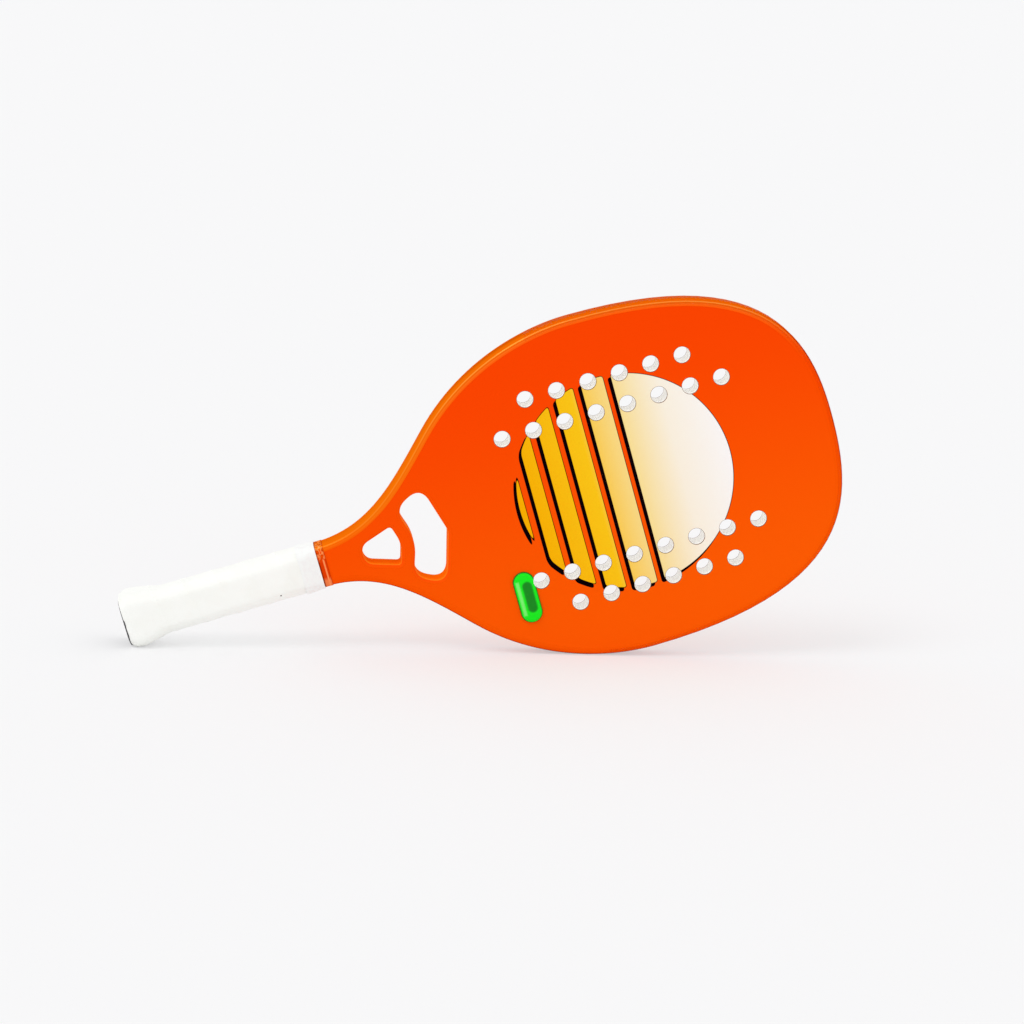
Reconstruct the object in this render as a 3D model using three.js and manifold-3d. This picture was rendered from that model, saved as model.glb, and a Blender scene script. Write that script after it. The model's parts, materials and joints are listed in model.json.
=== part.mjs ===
// A beach tennis racket that stands on its edge, on the corner of its butt and on the rim of its head.
// Lengths are in millimetres. The pieces are drawn lying flat: x runs from the butt to the tip,
// y across the racket and z out of its front face. The whole racket is then stood up, with its
// front face towards -Y and +Z up.

import * as THREE from 'three';
import { mergeVertices } from 'three/addons/utils/BufferGeometryUtils.js';
import Module from 'manifold-3d';

const wasm = await Module();
wasm.setup();

const gap = 0.3; // left between pieces that touch
const overrun = 6; // how far a cut runs past what it cuts

const hoop = {
  length: 500, // butt to tip
  thickness: 20,
  edgeRound: 5,
  halfWidth: 118.2,
  widestAt: 343,
  crownShare: 0.92, // reach of the curve from the widest point towards the tip
  tipShare: 0.47, // reach of the curve from the tip, of the half width
  bodyShare: 0.26, // reach of the curve from the widest point towards the shoulder
  shoulderAt: 227.7,
  shoulderHalf: 68.9,
  shoulderAngle: 46, // degrees
  shoulderRiseShare: 0.47, // reach of the curve above the shoulder point
  shoulderFallShare: 0.47, // and below it
  neckHalf: 14.6,
  neckShare: 0.43,
  handleHalf: 13.3, // under the grip
};

const tube = { width: 14.5, wall: 2.5, corner: 3.2, stepLength: 16 };

const throat = {
  edgeRound: 2.5,
  bridgeWidth: 14.5, // between the large opening and the core
  headBridgeShare: 0.63, // of the large opening's half width
  heartBridgeShare: 0.8, // of the small opening's half width
};

// The openings' corners on one side. A width share is of the racket's half width at the corner.
const largeOpening = {
  tip: { at: 227.4, round: 3 },
  far: { at: 217.3, widthShare: 0.598, round: 12 },
  near: { at: 196.8, widthShare: 0.622, round: 10 },
  waist: { at: 204.8, round: 11 },
};

const smallOpening = {
  tip: { at: 194.7, round: 6.5 },
  far: { at: 190.6, widthShare: 0.411, round: 3 },
  near: { at: 167.7, widthShare: 0.307, round: 5.8 },
};

const skin = { thickness: 1, seam: 0.4, setBack: 0.7 };

const perforation = {
  diameter: 11.2,
  pitch: 22,
  firstAt: 279.2,
  innerRow: 51,
  innerCount: 8,
  outerCount: 6,
};

const butt = { endWall: 3, lipThickness: 1, lipStep: 0.5, mouthAt: 24 };
const pallet = { thickness: 2.2, baseHalf: 9.6, topHalf: 8.2, taper: 14, endThickness: 0.7 };

const wrap = {
  thickness: 1.6,
  chamfer: 5.6,
  cornerRound: 1.6,
  overCap: 1.25, // thickness where it runs over the cap
  end: 126,
  taper: 13,
  endThickness: 0.7,
  pitch: 22,
  lapHeight: 0.4,
  lapShare: 0.35, // part of each turn that lies on the turn before
  ringStep: 2.75,
};

const flare = { rise: 3.4, flatTo: 8.5, end: 31.5, endDrop: 1.8, endRound: 6 };
const tape = { overWrap: 2, onNeck: 11, thickness: 0.5, toWidening: 1 };
const collar = { width: 5.3, thickness: 0.4 };
const film = { thickness: 0.3, from: 311.5 };
const staple = { crown: 6, wire: 1, leg: 5, at: 14, spacing: 9 };
const badge = { at: 267.2, across: -59.5, width: 15, length: 36.2, label: 0.3, dome: 1.5, crown: 2.6 };

// How finely the curves are divided.
const divisions = {
  crown: 16,
  body: 9,
  neckline: 13,
  edge: 3,
  corner: 4,
  handleCorner: 2,
  hole: 14,
  leg: 10,
  badgeEnd: 8,
  dome: 4,
};
const tiltRounds = 6; // rounds in which the standing tilt settles
const roundingShare = 0.98; // the most of a side that the roundings at its two ends take

const finishes = {
  lacquer: { color: 0xfa4403, roughness: 0.28, metalness: 0 },
  bridge: { color: 0xe63c02, roughness: 0.3, metalness: 0 },
  foam: { color: 0xf4f2ee, roughness: 0.9, metalness: 0 },
  palletFoam: { color: 0xd9cfa8, roughness: 0.8, metalness: 0 },
  rubber: { color: 0x2b2b2d, roughness: 0.6, metalness: 0 },
  steel: { color: 0xb9bcc0, roughness: 0.35, metalness: 1 },
  wrap: { color: 0xf8f8f5, roughness: 0.75, metalness: 0 },
  tape: { color: 0xefeeec, roughness: 0.55, metalness: 0 },
  clearFilm: { color: 0xff7a24, roughness: 0.12, metalness: 0 },
  label: { color: 0x1e8f3a, roughness: 0.5, metalness: 0 },
  resin: { color: 0x2fb457, roughness: 0.08, metalness: 0 },
};

const halfThickness = hoop.thickness / 2;
const skinBed = halfThickness - skin.thickness;
const skinInset = hoop.edgeRound + skin.seam; // from the frame's outside to the recess for a skin
const frameStart = butt.endWall + gap;
const handleHalfDepth = halfThickness + pallet.thickness;
const swellStart = wrap.end - wrap.taper; // from here the legs widen to the neck
const tapeStart = wrap.end - tape.overWrap;
const tapeEnd = wrap.end + tape.onNeck;
const neckAt = tapeEnd + tape.toWidening;
const collarStart = tapeEnd + gap;
const skinStart = collarStart + collar.width + skin.setBack;
const aside = hoop.halfWidth + overrun; // clear of the racket's widest place

// Closed geometry to a solid that can be cut and joined.
function solid(geometry) {
  const bare = geometry.clone();
  bare.deleteAttribute('normal');
  bare.deleteAttribute('uv');
  const merged = mergeVertices(bare);
  return new wasm.Manifold(new wasm.Mesh({
    numProp: 3,
    vertProperties: new Float32Array(merged.attributes.position.array),
    triVerts: new Uint32Array(merged.index.array),
  }));
}

function geometryOf(body) {
  const { numProp, vertProperties, triVerts } = body.getMesh();
  const points = new Float32Array((vertProperties.length / numProp) * 3);
  for (let i = 0; i < points.length; i += 1) {
    points[i] = vertProperties[Math.floor(i / 3) * numProp + (i % 3)];
  }
  const geometry = new THREE.BufferGeometry();
  geometry.setAttribute('position', new THREE.BufferAttribute(points, 3));
  geometry.setIndex([...triVerts]);
  const faceted = geometry.toNonIndexed();
  faceted.computeVertexNormals();
  return faceted;
}

function box(fromX, toX, fromY, toY, fromZ, toZ) {
  const block = new THREE.BoxGeometry(toX - fromX, toY - fromY, toZ - fromZ);
  block.translate((fromX + toX) / 2, (fromY + toY) / 2, (fromZ + toZ) / 2);
  return solid(block);
}

// All of the racket's space between two places along it.
function stretch(fromX, toX) {
  return box(fromX, toX, -aside, aside, -hoop.thickness, hoop.thickness);
}

// A flat contour raised from one height to another.
function prism(contour, fromZ, toZ) {
  const raised = new THREE.ExtrudeGeometry(new THREE.Shape(contour), {
    depth: toZ - fromZ,
    bevelEnabled: false,
  });
  return solid(raised.translate(0, 0, fromZ));
}

// A plate with rounded edges, half of it on each side of z = 0.
function roundedPlate(contour, thickness, round, openings = []) {
  const shape = new THREE.Shape(contour);
  shape.holes = openings.map((opening) => new THREE.Path(opening));
  const depth = thickness - 2 * round;
  const plate = new THREE.ExtrudeGeometry(shape, {
    depth,
    bevelThickness: round,
    bevelSize: round,
    bevelOffset: -round,
    bevelSegments: divisions.edge,
  });
  return solid(plate.translate(0, 0, -depth / 2));
}

// Moves a closed contour, drawn anticlockwise, inwards by a distance, or outwards by a negative one.
function inset(contour, distance) {
  const normalAfter = (i) => {
    const start = contour[i % contour.length];
    const end = contour[(i + 1) % contour.length];
    return new THREE.Vector2(start.y - end.y, end.x - start.x).normalize();
  };
  return contour.map((point, i) => {
    const before = normalAfter(i + contour.length - 1);
    const after = normalAfter(i);
    const shift = before.clone().add(after).multiplyScalar(distance / (1 + before.dot(after)));
    return point.clone().add(shift);
  });
}

// A closed contour whose corners are rounded from a distance along each side.
function roundedContour(corners, steps) {
  return corners.flatMap((corner, i) => {
    const before = corners[(i + corners.length - 1) % corners.length];
    const after = corners[(i + 1) % corners.length];
    const middle = new THREE.Vector2(corner.x, corner.y);
    const towards = (other) => {
      const side = new THREE.Vector2(other.x, other.y).sub(middle);
      const room = (roundingShare * side.length()) / (corner.round + other.round);
      return side.setLength(corner.round * Math.min(1, room)).add(middle);
    };
    return new THREE.QuadraticBezierCurve(towards(before), middle, towards(after)).getPoints(steps);
  });
}

// An opening's contour from its corners on one side, listed from the long axis round.
function openingContour(corners) {
  const upper = corners.map((corner) => ({ x: corner.at, y: cornerHalf(corner), round: corner.round }));
  const lower = upper.filter((corner) => corner.y > 0)
    .map((corner) => ({ ...corner, y: -corner.y })).reverse();
  return roundedContour([...upper, ...lower], divisions.corner);
}

// The upper half of the racket's outline, from the tip to the neck.
function outlineHalf() {
  const v = (x, y) => new THREE.Vector2(x, y);
  const tip = v(hoop.length, 0);
  const widest = v(hoop.widestAt, hoop.halfWidth);
  const shoulder = v(hoop.shoulderAt, hoop.shoulderHalf);
  const neck = v(neckAt, hoop.neckHalf);
  const climb = v(1, 0).rotateAround(v(0, 0), THREE.MathUtils.degToRad(hoop.shoulderAngle));
  const rise = climb.clone().multiplyScalar((widest.x - shoulder.x) * hoop.shoulderRiseShare);
  const fall = climb.clone().multiplyScalar((shoulder.x - neck.x) * hoop.shoulderFallShare);
  const crown = new THREE.CubicBezierCurve(
    tip,
    v(tip.x, hoop.halfWidth * hoop.tipShare),
    v(widest.x + (tip.x - widest.x) * hoop.crownShare, widest.y),
    widest,
  );
  const body = new THREE.CubicBezierCurve(
    widest,
    v(widest.x - (widest.x - shoulder.x) * hoop.bodyShare, widest.y),
    shoulder.clone().add(rise),
    shoulder,
  );
  const neckline = new THREE.CubicBezierCurve(
    shoulder,
    shoulder.clone().sub(fall),
    v(neck.x + (shoulder.x - neck.x) * hoop.neckShare, neck.y),
    neck,
  );
  return [
    ...crown.getPoints(divisions.crown),
    ...body.getPoints(divisions.body).slice(1),
    ...neckline.getPoints(divisions.neckline).slice(1),
  ];
}

// Half the width of the joined legs. They swell to the neck where the wrap thins out.
function legHalfAt(x) {
  const swell = THREE.MathUtils.clamp((x - swellStart) / wrap.taper, 0, 1);
  return THREE.MathUtils.lerp(hoop.handleHalf, hoop.neckHalf, swell);
}

// The upper half of the frame's outline, from the tip down to the butt end of the legs.
function upperContour() {
  const legs = [wrap.end, swellStart, frameStart].map((x) => new THREE.Vector2(x, legHalfAt(x)));
  return [...outlineHalf(), ...legs];
}

// The whole outline of the frame, anticlockwise.
function frameContour() {
  const upper = upperContour();
  const lower = upper.slice(1).map((point) => new THREE.Vector2(point.x, -point.y)).reverse();
  return [...upper, ...lower];
}

function cornerHalf({ at, widthShare = 0 }) {
  const upper = upperContour();
  const below = upper.findIndex((point) => point.x <= at);
  const [far, near] = [upper[below - 1], upper[below]];
  return widthShare * THREE.MathUtils.mapLinear(at, near.x, far.x, near.y, far.y);
}

const outline = frameContour();
const openings = [
  openingContour([smallOpening.tip, smallOpening.far, smallOpening.near]),
  openingContour([largeOpening.tip, largeOpening.far, largeOpening.near, largeOpening.waist]),
];

// The moulded body before it is divided: frame and bridges, with both openings.
function mouldedBody() {
  const sheet = [
    new THREE.Vector2(-overrun, -aside),
    new THREE.Vector2(hoop.length + overrun, -aside),
    new THREE.Vector2(hoop.length + overrun, aside),
    new THREE.Vector2(-overrun, aside),
  ];
  const pierced = roundedPlate(sheet, hoop.thickness, throat.edgeRound, openings);
  return roundedPlate(outline, hoop.thickness, hoop.edgeRound).intersect(pierced);
}

// The side of the head bridge that faces the core, and all beyond it. It runs along the opening's edge.
function beyondBridge(clearance, height) {
  const { tip, far } = largeOpening;
  const slope = (tip.at - far.at) / cornerHalf(far);
  const apex = tip.at + (throat.bridgeWidth + clearance) * Math.hypot(1, slope);
  return prism([
    new THREE.Vector2(apex, 0),
    new THREE.Vector2(apex - slope * aside, -aside),
    new THREE.Vector2(hoop.length + overrun, -aside),
    new THREE.Vector2(hoop.length + overrun, aside),
    new THREE.Vector2(apex - slope * aside, aside),
  ], -height, height);
}

// The room inside the hoop, between the tube and the head bridge.
function coreRoom(clearance, height) {
  const headOnly = outline.filter((point) => point.x > largeOpening.near.at);
  const inner = prism(inset(headOnly, tube.width + clearance), -height, height);
  return inner.intersect(beyondBridge(clearance, height + overrun));
}

function bridgeRoom(name, clearance) {
  const heart = name === 'heart';
  const half = heart
    ? cornerHalf(smallOpening.far) * throat.heartBridgeShare
    : cornerHalf(largeOpening.far) * throat.headBridgeShare;
  const from = heart ? smallOpening.far.at - smallOpening.far.round : largeOpening.far.at;
  const to = heart ? largeOpening.waist.at : hoop.length;
  const across = half + clearance;
  return box(from, to, -across, across, -hoop.thickness, hoop.thickness);
}

// The recess that a skin lies in. The skin is the same shape, smaller by the clearance.
function skinRoom(clearance, height) {
  const throatInset = throat.edgeRound + skin.seam + clearance;
  const whole = prism(inset(outline, skinInset + clearance), skinBed, skinBed + height)
    .intersect(stretch(skinStart + clearance, hoop.length));
  return openings.reduce(
    (left, opening) => left.subtract(
      prism(inset(opening, -throatInset), -hoop.thickness, hoop.thickness),
    ),
    whole,
  );
}

function perforations() {
  const { pitch, firstAt, innerRow, innerCount, outerCount } = perforation;
  const places = [];
  for (let i = 0; i < innerCount; i += 1) places.push([firstAt + i * pitch, innerRow]);
  const indent = (innerCount - outerCount) / 2;
  for (let i = 0; i < outerCount; i += 1) {
    places.push([firstAt + (i + indent) * pitch, innerRow + pitch]);
  }
  const radius = perforation.diameter / 2;
  const holes = places.flatMap(([x, y]) => [[x, y], [x, -y]]).map(([x, y]) => {
    const drill = new THREE.CylinderGeometry(radius, radius, hoop.thickness + overrun, divisions.hole);
    return solid(drill.rotateX(Math.PI / 2).translate(x, y, 0));
  });
  return holes.reduce((joined, hole) => joined.add(hole));
}

// The hollow that runs through the tube, up one leg, round the head and down the other leg.
function tubeChannel() {
  const line = inset(outline, tube.width / 2).slice(0, upperContour().length - 1);
  const leg = line.at(-1);
  for (let i = 1; i <= divisions.leg; i += 1) {
    line.push(new THREE.Vector2(leg.x - ((leg.x + overrun) * i) / divisions.leg, leg.y));
  }
  const half = line.map((point) => new THREE.Vector3(point.x, point.y, 0));
  const other = half.slice(1).map((point) => new THREE.Vector3(point.x, -point.y, 0));
  const path = new THREE.CatmullRomCurve3([...half.reverse(), ...other]);
  const across = tube.width / 2 - tube.wall;
  const up = skinBed - tube.wall;
  const section = new THREE.Shape([
    new THREE.Vector2(up, across - tube.corner),
    new THREE.Vector2(up - tube.corner, across),
    new THREE.Vector2(tube.corner - up, across),
    new THREE.Vector2(-up, across - tube.corner),
    new THREE.Vector2(-up, tube.corner - across),
    new THREE.Vector2(tube.corner - up, -across),
    new THREE.Vector2(up - tube.corner, -across),
    new THREE.Vector2(up, tube.corner - across),
  ]);
  const steps = Math.round(path.getLength() / tube.stepLength);
  return solid(new THREE.ExtrudeGeometry(section, { steps, extrudePath: path, bevelEnabled: false }));
}

const mirrorDown = (body) => body.mirror([0, 0, 1]);

function frameTube(body) {
  const recess = skinRoom(0, skin.thickness + overrun);
  return body
    .subtract(coreRoom(0, hoop.thickness))
    .subtract(bridgeRoom('heart', gap))
    .subtract(bridgeRoom('head', gap).subtract(beyondBridge(0, hoop.thickness + overrun)))
    .subtract(recess)
    .subtract(mirrorDown(recess))
    .subtract(tubeChannel());
}

function bridge(name, body) {
  const recess = skinRoom(0, skin.thickness + overrun);
  return body
    .intersect(bridgeRoom(name, 0))
    .subtract(beyondBridge(0, hoop.thickness))
    .subtract(recess)
    .subtract(mirrorDown(recess));
}

// Skins a row of rings that have the same number of points, and closes both ends.
function loft(rings) {
  const count = rings[0].length;
  const points = rings.flat().flatMap((point) => [point.x, point.y, point.z]);
  const faces = [];
  for (let ring = 0; ring < rings.length - 1; ring += 1) {
    for (let i = 0; i < count; i += 1) {
      const here = ring * count + i;
      const next = ring * count + ((i + 1) % count);
      faces.push(here, next, next + count, here, next + count, here + count);
    }
  }
  const last = (rings.length - 1) * count;
  for (let i = 1; i < count - 1; i += 1) {
    faces.push(0, i + 1, i, last, last + i, last + i + 1);
  }
  const geometry = new THREE.BufferGeometry();
  geometry.setAttribute('position', new THREE.BufferAttribute(new Float32Array(points), 3));
  geometry.setIndex(faces);
  return solid(geometry);
}

// One eight-sided ring round the handle, seen from the butt.
function handleRing(x, halfWidth, halfDepth, chamfer, round) {
  const corners = [
    { x: halfWidth, y: halfDepth - chamfer },
    { x: halfWidth - chamfer, y: halfDepth },
    { x: chamfer - halfWidth, y: halfDepth },
    { x: -halfWidth, y: halfDepth - chamfer },
    { x: -halfWidth, y: chamfer - halfDepth },
    { x: chamfer - halfWidth, y: -halfDepth },
    { x: halfWidth - chamfer, y: -halfDepth },
    { x: halfWidth, y: chamfer - halfDepth },
  ].map((corner) => ({ ...corner, round }));
  return roundedContour(corners, divisions.handleCorner)
    .map((point) => new THREE.Vector3(x, point.x, point.y));
}

// A ring outside the legs and pallets. Its chamfers clear the frame's rounded edges as well.
function legRing(x, palletThickness, clearance) {
  const halfWidth = legHalfAt(x) + clearance;
  const halfDepth = halfThickness + palletThickness + clearance;
  const frameReach = legHalfAt(x) + halfThickness - hoop.edgeRound * (2 - Math.SQRT2);
  const palletReach = pallet.topHalf + halfThickness + palletThickness;
  const reach = Math.max(frameReach, palletReach) + clearance * Math.SQRT2;
  return handleRing(x, halfWidth, halfDepth, halfWidth + halfDepth - reach, gap);
}

// How far the handle's outside stands out towards the butt, whose end is rounded.
function flareAt(x) {
  const rise = flare.rise * THREE.MathUtils.smoothstep(flare.end - x, 0, flare.end - flare.flatTo);
  return rise - flare.endDrop * THREE.MathUtils.smoothstep(flare.endRound - x, 0, flare.endRound);
}

// A ring that lies under the wrap's surface by a depth.
function gripRing(x, depth) {
  const out = gap + wrap.thickness + flareAt(x) - depth;
  return handleRing(x, legHalfAt(x) + out, handleHalfDepth + out, wrap.chamfer, wrap.cornerRound);
}

function stepsBetween(from, to, step) {
  const count = Math.round((to - from) / step);
  return Array.from({ length: count + 1 }, (_, i) => from + ((to - from) * i) / count);
}

// How much thinner the wrap is towards its end.
function wrapDepth(x) {
  const thinned = wrap.thickness - wrap.endThickness;
  return thinned * THREE.MathUtils.smoothstep(x, wrap.end - wrap.taper, wrap.end);
}

// The most that a lapped turn adds at a place. The laps fade out towards the wrap's end.
function lapLimit(x) {
  return wrap.lapHeight * (1 - wrapDepth(x) / wrapDepth(wrap.end));
}

function lapAt(x, ringPoint) {
  const turn = x / wrap.pitch - Math.atan2(ringPoint.z, ringPoint.y) / (2 * Math.PI);
  const along = turn - Math.floor(turn);
  return lapLimit(x) * Math.max(0, 1 - along / wrap.lapShare);
}

function gripWrap() {
  const stations = stepsBetween(butt.lipThickness + gap, wrap.end, wrap.ringStep);
  const outer = loft(stations.map((x, i) => {
    const edge = i === 0 ? wrap.overCap / 2 : 0;
    return gripRing(x, wrapDepth(x) + edge).map((point) => {
      const lift = lapAt(x, point) / Math.hypot(point.y, point.z);
      return new THREE.Vector3(point.x, point.y * (1 + lift), point.z * (1 + lift));
    });
  }));
  const overCap = loft(
    stepsBetween(-overrun, butt.mouthAt + gap, wrap.ringStep).map((x) => gripRing(x, wrap.overCap)),
  );
  const bends = [0, swellStart, wrap.end, wrap.end + overrun];
  const overHandle = loft(bends.map((x) => legRing(x, pallet.thickness, gap)));
  return outer.subtract(overCap).subtract(overHandle);
}

function buttCap() {
  const under = wrap.overCap + gap;
  const outer = loft([
    gripRing(0, wrap.overCap),
    gripRing(butt.lipThickness / 2, butt.lipStep),
    gripRing(butt.lipThickness, butt.lipStep),
    ...stepsBetween(butt.lipThickness, butt.mouthAt, wrap.ringStep).map((x) => gripRing(x, under)),
  ]);
  const room = loft(
    [butt.endWall, butt.mouthAt + overrun].map((x) => legRing(x, pallet.thickness, gap)),
  );
  return outer.subtract(room);
}

function palletRing(x, thickness) {
  return [
    new THREE.Vector3(x, pallet.baseHalf, halfThickness),
    new THREE.Vector3(x, pallet.topHalf, halfThickness + thickness),
    new THREE.Vector3(x, -pallet.topHalf, halfThickness + thickness),
    new THREE.Vector3(x, -pallet.baseHalf, halfThickness),
  ];
}

function palletBody() {
  return loft([
    palletRing(frameStart, pallet.thickness),
    palletRing(tapeEnd - pallet.taper, pallet.thickness),
    palletRing(tapeEnd, pallet.endThickness),
  ]);
}

// A staple's crown and legs on the front of the cap. With a clearance it is the pocket for them.
function stapleBody(side, clearance) {
  const middle = (side * staple.spacing) / 2;
  const from = middle - staple.crown / 2;
  const to = middle + staple.crown / 2;
  const along = staple.wire / 2 + clearance;
  const top = handleHalfDepth + wrap.thickness + flareAt(staple.at) - wrap.overCap;
  const roof = clearance > 0 ? top + overrun : top;
  const bar = (fromY, toY, bottom) => box(
    staple.at - along,
    staple.at + along,
    fromY - clearance,
    toY + clearance,
    bottom - clearance,
    roof,
  );
  return bar(from, to, top - staple.wire)
    .add(bar(from, from + staple.wire, top - staple.leg))
    .add(bar(to - staple.wire, to, top - staple.leg));
}

// A ring outside the wrap's end, and then outside the neck, by a distance.
function tapeRing(x, out) {
  if (x <= wrap.end) return gripRing(x, wrapDepth(x) - lapLimit(x) - out);
  return legRing(x, pallet.endThickness, out);
}

function finishingTape() {
  const stations = [...stepsBetween(tapeStart, wrap.end, wrap.ringStep), tapeEnd];
  const outer = loft(stations.map((x) => tapeRing(x, gap + tape.thickness)));
  const longer = [tapeStart - overrun, ...stations, tapeEnd + overrun];
  return outer.subtract(loft(longer.map((x) => tapeRing(x, gap))));
}

// A thin layer that lies all round the frame's outside.
function rimShell(thickness) {
  const layer = (out) => roundedPlate(
    inset(outline, -out),
    hoop.thickness + 2 * out,
    hoop.edgeRound + out,
  );
  return layer(gap + thickness).subtract(layer(gap));
}

function neckCollar() {
  return rimShell(collar.thickness).intersect(stretch(collarStart, collarStart + collar.width));
}

function rimFilm() {
  const faces = prism(inset(outline, skinInset), -hoop.thickness, hoop.thickness);
  return rimShell(film.thickness).intersect(stretch(film.from, hoop.length + overrun)).subtract(faces);
}

function badgeContour() {
  const radius = badge.width / 2;
  const straight = badge.length / 2 - radius;
  const capsule = new THREE.Shape();
  capsule.absarc(badge.at, badge.across + straight, radius, 0, Math.PI);
  capsule.absarc(badge.at, badge.across - straight, radius, Math.PI, 2 * Math.PI);
  return capsule.getPoints(divisions.badgeEnd).slice(0, -1);
}

function badgeLabel() {
  return prism(badgeContour(), halfThickness, halfThickness + badge.label);
}

function badgeDome() {
  const base = halfThickness + badge.label;
  const rings = Array.from({ length: divisions.dome + 1 }, (_, i) => {
    const angle = (Math.PI / 2) * (i / divisions.dome);
    const height = base + badge.dome * Math.sin(angle);
    return inset(badgeContour(), badge.crown * (1 - Math.cos(angle)))
      .map((point) => new THREE.Vector3(point.x, point.y, height));
  });
  return loft(rings);
}

function pieces() {
  const body = mouldedBody();
  const holes = perforations();
  const frontSkin = skinRoom(gap, skin.thickness).subtract(holes);
  const frontStaples = [-1, 1].map((side) => stapleBody(side, 0));
  const frontPockets = stapleBody(-1, gap).add(stapleBody(1, gap));
  const frontPallet = palletBody().subtract(frontPockets);
  const cap = buttCap().subtract(frontPockets).subtract(mirrorDown(frontPockets));
  return [
    ['frame_tube', frameTube(body), 'lacquer'],
    ['head_bridge', bridge('head', body), 'bridge'],
    ['heart_bridge', bridge('heart', body), 'bridge'],
    ['head_core', coreRoom(gap, skinBed).subtract(holes), 'foam'],
    ['front_skin', frontSkin, 'lacquer'],
    ['back_skin', mirrorDown(frontSkin), 'lacquer'],
    ['rim_film', rimFilm(), 'clearFilm'],
    ['pallet_front', frontPallet, 'palletFoam'],
    ['pallet_back', mirrorDown(frontPallet), 'palletFoam'],
    ['butt_cap', cap, 'rubber'],
    ...frontStaples.flatMap((piece, i) => [
      [`butt_cap_staple_${i + 1}`, piece, 'steel'],
      [`butt_cap_staple_${i + 3}`, mirrorDown(piece), 'steel'],
    ]),
    ['grip_wrap', gripWrap(), 'wrap'],
    ['finishing_tape', finishingTape(), 'tape'],
    ['neck_collar', neckCollar(), 'clearFilm'],
    ['badge_label', badgeLabel().subtract(holes), 'label'],
    ['badge_dome', badgeDome().subtract(holes), 'resin'],
  ];
}

const flat = new THREE.Group();
flat.rotation.x = Math.PI / 2;
pieces().forEach(([name, body, finish]) => {
  const mesh = new THREE.Mesh(geometryOf(body), new THREE.MeshStandardMaterial(finishes[finish]));
  mesh.name = name;
  flat.add(mesh);
});

// The tilt at which the butt and the head's rim stand on one level.
function standingTilt() {
  const points = flat.children.flatMap(({ geometry }) => {
    const { position } = geometry.attributes;
    return Array.from({ length: position.count }, (_, i) => (
      new THREE.Vector2(position.getX(i), position.getY(i))
    ));
  });
  const handle = points.filter((point) => point.x < neckAt);
  const head = points.filter((point) => point.x >= neckAt);
  const lowest = (group, tilt) => {
    const height = (point) => point.x * Math.sin(tilt) + point.y * Math.cos(tilt);
    return group.reduce((low, point) => (height(point) < height(low) ? point : low));
  };
  let tilt = 0;
  for (let round = 0; round < tiltRounds; round += 1) {
    const heel = lowest(handle, tilt);
    const rim = lowest(head, tilt);
    tilt = Math.atan2(heel.y - rim.y, rim.x - heel.x);
  }
  return tilt;
}

const racket = new THREE.Group();
racket.add(flat);
racket.rotation.y = -standingTilt();
const bounds = new THREE.Box3().setFromObject(racket, true);
racket.position.set(-(bounds.min.x + bounds.max.x) / 2, 0, -bounds.min.z);

export default racket;
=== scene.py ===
import bpy
import json
import math
from mathutils import Euler, Matrix, Vector, noise


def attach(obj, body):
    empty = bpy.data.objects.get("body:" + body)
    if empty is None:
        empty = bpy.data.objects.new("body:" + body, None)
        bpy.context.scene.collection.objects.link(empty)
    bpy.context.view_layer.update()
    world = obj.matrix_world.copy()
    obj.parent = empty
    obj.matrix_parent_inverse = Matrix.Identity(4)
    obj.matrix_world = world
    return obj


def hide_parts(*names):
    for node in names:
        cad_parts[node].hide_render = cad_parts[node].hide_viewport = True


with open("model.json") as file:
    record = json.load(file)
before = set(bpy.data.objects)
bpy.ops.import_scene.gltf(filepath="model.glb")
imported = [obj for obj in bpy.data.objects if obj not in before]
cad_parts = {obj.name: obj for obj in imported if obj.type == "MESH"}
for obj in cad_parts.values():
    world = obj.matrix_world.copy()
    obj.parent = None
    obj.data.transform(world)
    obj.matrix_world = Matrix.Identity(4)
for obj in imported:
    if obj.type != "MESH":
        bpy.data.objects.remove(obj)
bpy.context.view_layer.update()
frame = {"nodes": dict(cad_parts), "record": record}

mm = 0.001

# the racket is modelled lying flat, x from butt to tip and z out of the front face, and then stood up
mounts = {mount["name"]: mount for mount in frame["record"]["mounts"]}
buttPlace = Vector(mounts["butt_end_face"]["pos_m"])
along = -Vector(mounts["butt_end_face"]["axis"])
outward = -Vector(mounts["back_face"]["axis"])
across = outward.cross(along)
standing = Matrix.Translation(buttPlace) @ Matrix((along, across, outward)).transposed().to_4x4()

photoCamera = {
    "lens": 120.3,
    "place": (-0.19515, -2.2663, 0.57989),
    "turn": (78.0149, -2.3852, -4.9113),  # degrees
    "seesTo": 100,
}


def addCamera():
    data = bpy.data.cameras.new("photoCamera")
    data.lens = photoCamera["lens"]
    data.clip_end = photoCamera["seesTo"]
    camera = bpy.data.objects.new("photoCamera", data)
    bpy.context.scene.collection.objects.link(camera)
    camera.location = photoCamera["place"]
    camera.rotation_euler = Euler([math.radians(a) for a in photoCamera["turn"]], "XYZ")
    bpy.context.scene.camera = camera


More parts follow.
